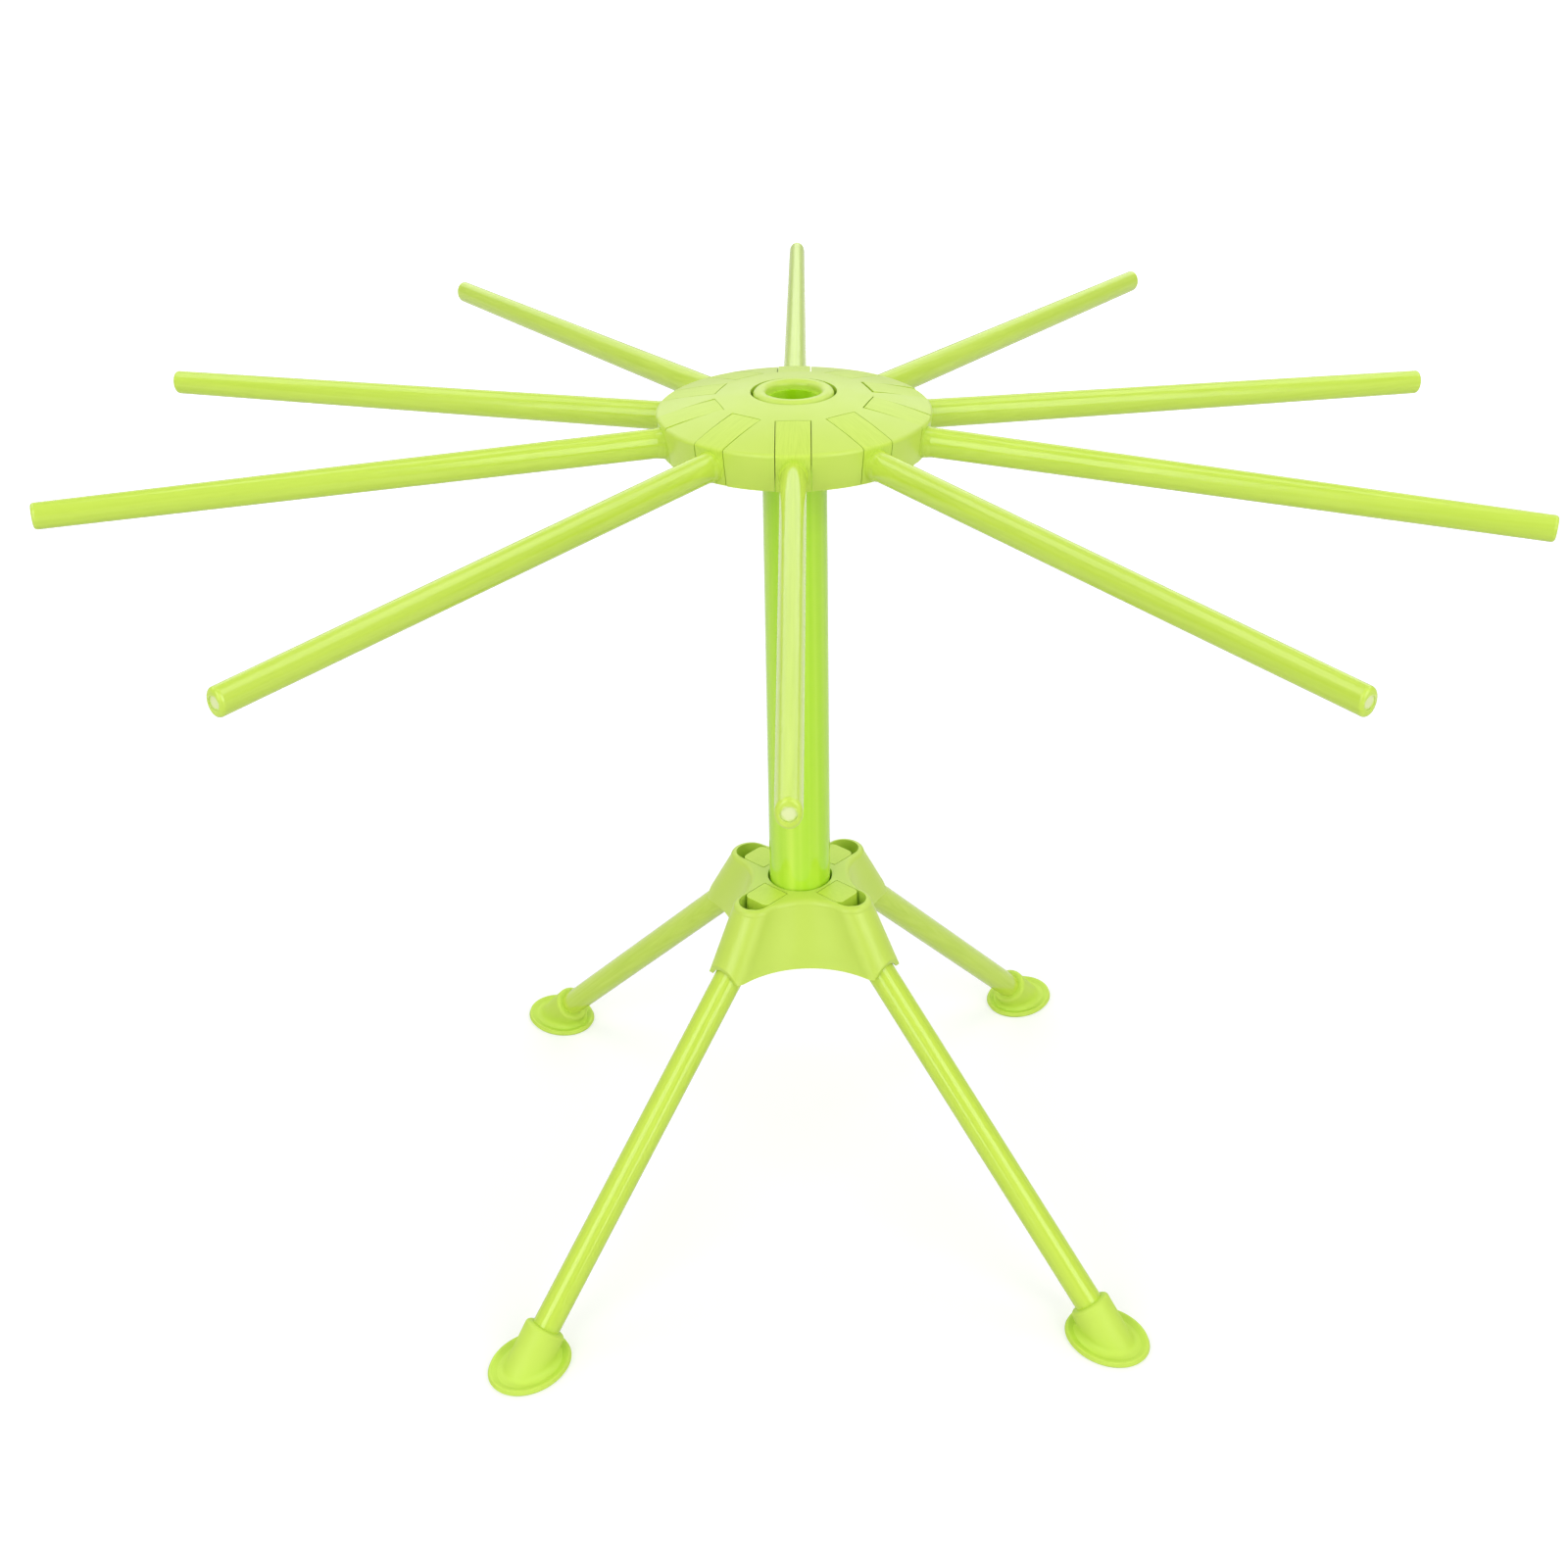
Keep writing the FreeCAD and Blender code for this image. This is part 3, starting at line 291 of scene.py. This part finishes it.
# %% [markdown]
# ## Studio lamps
# The photograph is a high-key product shot. A large panel behind the rack lies as a pale sheen on all
# that faces up. Two in front open the shadows, and the gap between them leaves a streak down both
# sides of each leg. Two high ones at the sides draw a long highlight on the upper half of each arm.
# One big lamp overhead would light the rack as well, but it would flatten the bars, so the one here is
# small. Lamps stay at a level where a colour shows about as written.


# %% Studio lamps
RACK_MIDDLE = (0, 0, 0.2)


def lamp(name, place, size, watts):
    data = bpy.data.lights.new(name, "AREA")
    data.shape = "RECTANGLE"
    data.size, data.size_y = size
    data.energy = watts
    made = bpy.data.objects.new(name, data)
    made.location = place
    made.rotation_mode = "QUATERNION"
    made.rotation_quaternion = (Vector(RACK_MIDDLE) - Vector(place)).to_track_quat("-Z", "Y")
    bpy.context.scene.collection.objects.link(made)
    print(name, watts, "W")


lamp("back panel", place=(0.0, 1.7, 1.1), size=(3.4, 1.2), watts=12.5)
lamp("overhead", place=(0.0, -0.2, 1.7), size=(0.5, 0.5), watts=1.5)
lamp("front left panel", place=(-1.05, -1.45, 0.9), size=(1.1, 1.6), watts=14.5)
lamp("front right panel", place=(1.05, -1.45, 0.9), size=(1.1, 1.6), watts=14.5)
lamp("left panel", place=(-1.3, 0.3, 1.7), size=(1.4, 1.2), watts=9)
lamp("right panel", place=(1.3, 0.3, 1.7), size=(1.4, 1.2), watts=9)

# %% [markdown]
# ## White room
# The room behind the rack is white in the picture. More lamp light would make it white, but it would
# bleach the rack too. So the world only looks white to the camera, by Light Path, and lights the rack
# with less. Reflections see a part of that white. Towards the horizon the room is greyer, which keeps
# the colour at the edges of the bars.


# %% White room
WHITE = (1, 1, 1, 1)
ROOM_AT_HORIZON, ROOM_ABOVE = 0.26, 0.35
ROOM_ABOVE_FROM = 0.7
ROOM_WHITE_IN_REFLECTIONS = 0.35


def seen_as_white(tree, in_reflections):
    path = add(tree, "ShaderNodeLightPath").outputs
    gloss = add(tree, "ShaderNodeMath", {0: path["Is Glossy Ray"], 1: in_reflections},
                operation="MULTIPLY")
    seen = add(tree, "ShaderNodeMath", {0: path["Is Camera Ray"], 1: gloss.outputs[0]},
               operation="MAXIMUM")
    seen = add(tree, "ShaderNodeMath", {0: seen.outputs[0], 1: path["Is Transmission Ray"]},
               operation="MAXIMUM")
    return seen.outputs[0]


world = bpy.data.worlds.new("white studio")
bpy.context.scene.world = world
world.use_nodes = True
tree = world.node_tree
back = tree.nodes["Background"]
back.inputs["Color"].default_value = WHITE
look = add(tree, "ShaderNodeTexCoord").outputs["Generated"]
height = add(tree, "ShaderNodeSeparateXYZ", {0: look}).outputs["Z"]
room = add(tree, "ShaderNodeMapRange", {"Value": height, "From Max": ROOM_ABOVE_FROM,
                                        "To Min": ROOM_AT_HORIZON, "To Max": ROOM_ABOVE})
white = add(tree, "ShaderNodeMapRange", {"Value": seen_as_white(tree, ROOM_WHITE_IN_REFLECTIONS),
                                         "To Min": room.outputs["Result"]})
tree.links.new(white.outputs["Result"], back.inputs["Strength"])
print("room light", ROOM_AT_HORIZON, "at the horizon,", ROOM_ABOVE, "above")

# %% [markdown]
# ## Paper floor
# The rack stands on a wide roll of white paper. A white floor that only the lamps light would look
# grey beside the white room, so its paper also glows a little, by Light Path again. It glows less
# round the feet than further out, so that the soft shadow of the rack stays on it.

# %% Paper floor
FLOOR_HALF = 6.0
PAPER_NEAR, PAPER_FAR = 0.25, 1.6
GLOW_NEAR, GLOW_FAR = 0.45, 0.86
FLOOR_WHITE_IN_REFLECTIONS = 0.4

floor_mesh = bmesh.new()
bmesh.ops.create_grid(floor_mesh, x_segments=1, y_segments=1, size=FLOOR_HALF)
floor_data = bpy.data.meshes.new("floor")
floor_mesh.to_mesh(floor_data)
floor_mesh.free()
floor = bpy.data.objects.new("floor", floor_data)
bpy.context.scene.collection.objects.link(floor)

# Uncoated paper: matt, with no image of the rack in it, so the eye rests on the rack alone.
paper = bpy.data.materials.new("white paper sweep")
paper.use_nodes = True
tree = paper.node_tree
shader = tree.nodes["Principled BSDF"]
shader.inputs["Base Color"].default_value = colour("#CCCCCA")
shader.inputs["Roughness"].default_value = 0.9
shader.inputs["Emission Color"].default_value = WHITE
place = add(tree, "ShaderNodeTexCoord").outputs["Object"]
away = add(tree, "ShaderNodeVectorMath", {0: place}, operation="LENGTH")
glow = add(tree, "ShaderNodeMapRange", {"Value": away.outputs["Value"], "From Min": PAPER_NEAR,
                                        "From Max": PAPER_FAR, "To Min": GLOW_NEAR,
                                        "To Max": GLOW_FAR})
white = add(tree, "ShaderNodeMath", {0: glow.outputs["Result"],
                                     1: seen_as_white(tree, FLOOR_WHITE_IN_REFLECTIONS)},
            operation="MULTIPLY")
tree.links.new(white.outputs[0], shader.inputs["Emission Strength"])
floor_data.materials.append(paper)
print("floor", 2 * FLOOR_HALF, "m wide")

# %% [markdown]
# The Standard view shows colours as they were written.

bpy.context.scene.view_settings.view_transform = "Standard"
